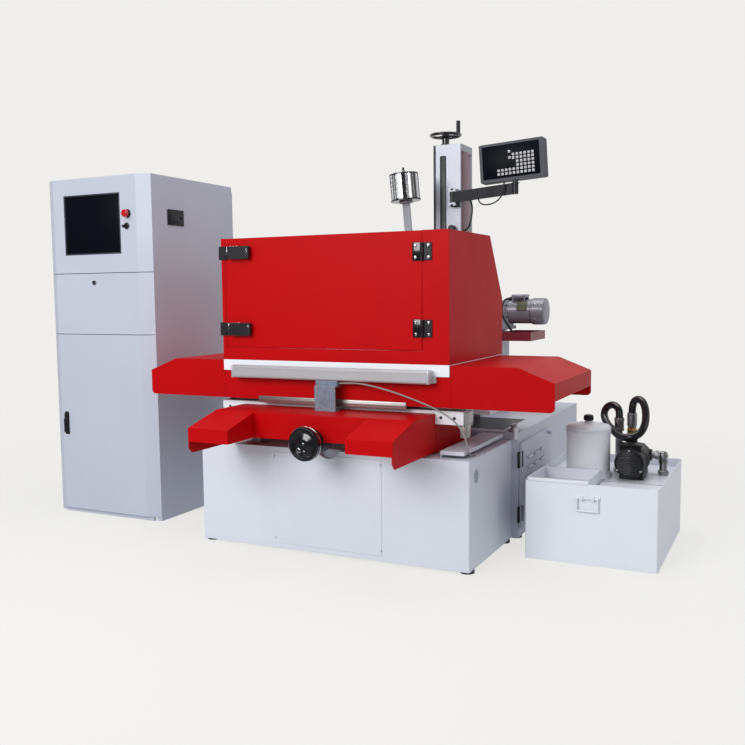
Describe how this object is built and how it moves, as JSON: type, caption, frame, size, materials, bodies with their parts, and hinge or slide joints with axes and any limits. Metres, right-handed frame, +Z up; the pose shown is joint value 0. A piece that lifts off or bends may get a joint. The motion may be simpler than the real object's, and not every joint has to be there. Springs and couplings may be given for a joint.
{
  "type": "wire-cut electrical discharge machine",
  "caption": "Fast wire-cut spark erosion machine with cross-slide table in a red guard, wire column and drum, control cabinet and coolant unit.",
  "frame": {"origin": "on the floor below the middle of the whole plan of the three units", "axes": "+X to the operator's right, +Y from the operator to the back of the machine, +Z up"},
  "size_m": [3.088, 2.075, 2.036],
  "materials": {
    "cream_paint": "satin",
    "red_paint": "semi-gloss",
    "white_paint": "satin",
    "cabinet_paint": "satin",
    "tank_paint": "satin",
    "column_paint": "satin",
    "casting": "satin",
    "ground_steel": "ground",
    "dark_steel": "blackened",
    "aluminium": "anodised",
    "bracket_paint": "satin",
    "black_plastic": "satin",
    "black_gloss": "gloss",
    "stop_red": "gloss",
    "dark_bezel": "matt",
    "motor_paint": "painted",
    "pump_black": "satin",
    "chrome_steel": "polished",
    "plated_pipe": "galvanised",
    "hose_rubber": "satin",
    "cable_grey": "satin",
    "cable_black": "matt",
    "circuit_parts": "matt"
  },
  "bodies": {
    "base": {"bed": "cream_paint", "bed_panel": "cream_paint", "leveling_feet": "dark_steel", "guide_rails": "ground_steel", "rear_base": "cabinet_paint", "column": "column_paint", "lower_arm": "casting", "drum_base": "casting", "drum_tray": "red_paint", "cabinet_shell": "cabinet_paint", "cabinet_bezel": "cabinet_paint", "monitor": "black_gloss", "keyboard": "black_plastic", "control_rack": "circuit_parts", "tank": "tank_paint", "tank_deck": "tank_paint", "filter_housing": "tank_paint", "pump_motor": "pump_black", "pump_head": "pump_black", "coolant_pipes": "plated_pipe", "coolant_hose": "hose_rubber", "column_cable": "cable_grey"},
    "saddle": {"saddle": "white_paint", "saddle_guides": "ground_steel", "saddle_cover": "red_paint", "y_drive_housing": "black_plastic", "scale_bracket": "bracket_paint", "scale_cable": "cable_grey"},
    "y_wheel": {"y_handwheel": "black_gloss"},
    "table": {"table": "casting", "table_skirt": "red_paint", "table_wings": "red_paint", "drip_tray": "white_paint", "linear_scale": "aluminium", "enclosure": "red_paint", "door_fittings": "black_plastic"},
    "guard_door": {"door": "red_paint"},
    "upper_latch_lever": {"upper_latch": "black_plastic"},
    "lower_latch_lever": {"lower_latch": "black_plastic"},
    "wire_head": {"z_slide": "casting", "upper_arm": "casting"},
    "z_wheel": {"z_handwheel": "black_gloss"},
    "lower_pulley": {"lower_wheel": "ground_steel"},
    "upper_pulley": {"upper_wheel": "ground_steel"},
    "reel": {"wire_reel": "chrome_steel"},
    "carriage": {"drum_carriage": "casting", "drum_motor": "motor_paint", "motor_cable": "cable_black"},
    "drum": {"wire_drum": "ground_steel"},
    "readout_arm": {"dro_arm": "dark_steel", "dro_cable": "cable_black"},
    "readout": {"dro_display": "dark_bezel"},
    "service_door": {"rear_door": "cabinet_paint"},
    "flap": {"keyboard_flap": "cabinet_paint"},
    "lower_door": {"cabinet_door": "cabinet_paint"},
    "swing_handle": {"door_handle": "black_plastic"},
    "stop_button": {"estop_button": "stop_red"},
    "key": {"key_switch": "chrome_steel"},
    "lid": {"filter_lid": "tank_paint"},
    "bail": {"bail_handle": "tank_paint"}
  },
  "joints": [
    {"name": "saddle_slide", "type": "slide", "parent": "base", "child": "saddle", "axis": [0, 1, 0], "range_m": [-0.15, 0.03]},
    {"name": "y_wheel_turn", "type": "hinge", "parent": "saddle", "child": "y_wheel", "pos_m": [0.212, -0.7025, 0.532], "axis": [0, 1, 0], "range_deg": [-10810, 2170]},
    {"name": "table_slide", "type": "slide", "parent": "saddle", "child": "table", "axis": [1, 0, 0], "range_m": [-0.07, 0.25]},
    {"name": "door_hinge", "type": "hinge", "parent": "table", "child": "guard_door", "pos_m": [0.64, -0.6625, 1.15], "axis": [0, 0, 1], "range_deg": [0, 110]},
    {"name": "upper_latch_turn", "type": "hinge", "parent": "guard_door", "child": "upper_latch_lever", "pos_m": [-0.235, -0.6625, 1.337], "axis": [0, 1, 0], "range_deg": [0, 90]},
    {"name": "lower_latch_turn", "type": "hinge", "parent": "guard_door", "child": "lower_latch_lever", "pos_m": [-0.235, -0.6625, 0.992], "axis": [0, 1, 0], "range_deg": [0, 90]},
    {"name": "z_slide_travel", "type": "slide", "parent": "base", "child": "wire_head", "axis": [0, 0, 1], "range_m": [0, 0.3]},
    {"name": "z_wheel_turn", "type": "hinge", "parent": "base", "child": "z_wheel", "pos_m": [0.336, 0.3975, 1.9], "axis": [0, 0, 1], "range_deg": [-10, 21610]},
    {"name": "lower_pulley_spin", "type": "hinge", "parent": "base", "child": "lower_pulley", "pos_m": [0.21, -0.3525, 0.937], "axis": [1, 0, 0], "continuous": true},
    {"name": "upper_pulley_spin", "type": "hinge", "parent": "wire_head", "child": "upper_pulley", "pos_m": [0.21, -0.3525, 1.233], "axis": [1, 0, 0], "continuous": true},
    {"name": "reel_spin", "type": "hinge", "parent": "wire_head", "child": "reel", "pos_m": [0.217, 0.1475, 1.602], "axis": [-0.0872, 0, 0.9962], "continuous": true},
    {"name": "drum_traverse", "type": "slide", "parent": "base", "child": "carriage", "axis": [1, 0, 0], "range_m": [-0.05, 0.05]},
    {"name": "drum_spin", "type": "hinge", "parent": "carriage", "child": "drum", "pos_m": [0.43, 0.6475, 1.042], "axis": [1, 0, 0], "continuous": true},
    {"name": "readout_arm_swing", "type": "hinge", "parent": "base", "child": "readout_arm", "pos_m": [0.401, 0.3275, 1.645], "axis": [0, 0, 1], "range_deg": [-40, 40]},
    {"name": "readout_swivel", "type": "hinge", "parent": "readout_arm", "child": "readout", "pos_m": [0.76, 0.2425, 1.7], "axis": [0, 0, 1], "range_deg": [-40, 40]},
    {"name": "service_door_hinge", "type": "hinge", "parent": "base", "child": "service_door", "pos_m": [0.898, -0.1205, 0.255], "axis": [0, 0, -1], "range_deg": [0, 9]},
    {"name": "keyboard_flap_hinge", "type": "hinge", "parent": "base", "child": "flap", "pos_m": [-1.2055, -0.5385, 0.956], "axis": [1, 0, 0], "range_deg": [0, 90]},
    {"name": "cabinet_door_hinge", "type": "hinge", "parent": "base", "child": "lower_door", "pos_m": [-0.867, -0.5105, 0.486], "axis": [0, 0, 1], "range_deg": [0, 100]},
    {"name": "door_handle_turn", "type": "hinge", "parent": "lower_door", "child": "swing_handle", "pos_m": [-1.457, -0.5505, 0.518], "axis": [0, 1, 0], "range_deg": [0, 90]},
    {"name": "stop_press", "type": "slide", "parent": "base", "child": "stop_button", "axis": [0, 1, 0], "range_m": [0, 0.006], "stiffness_N_per_m": 900},
    {"name": "key_turn", "type": "hinge", "parent": "base", "child": "key", "pos_m": [-1.005, -0.5525, 1.497], "axis": [0, 1, 0], "range_deg": [0, 90]},
    {"name": "filter_lid_lift", "type": "slide", "parent": "base", "child": "lid", "axis": [0, 0, 1], "range_m": [0, 0.08]},
    {"name": "bail_swing", "type": "hinge", "parent": "base", "child": "bail", "pos_m": [1.258, -0.3735, 0.286], "axis": [-1, 0, 0], "range_deg": [0, 95]}
  ],
  "couplings": [
    {"joint": "y_wheel_turn", "follows": "saddle_slide", "rad_per_m": 1256.6},
    {"joint": "z_wheel_turn", "follows": "z_slide_travel", "rad_per_m": 1256.6}
  ]
}
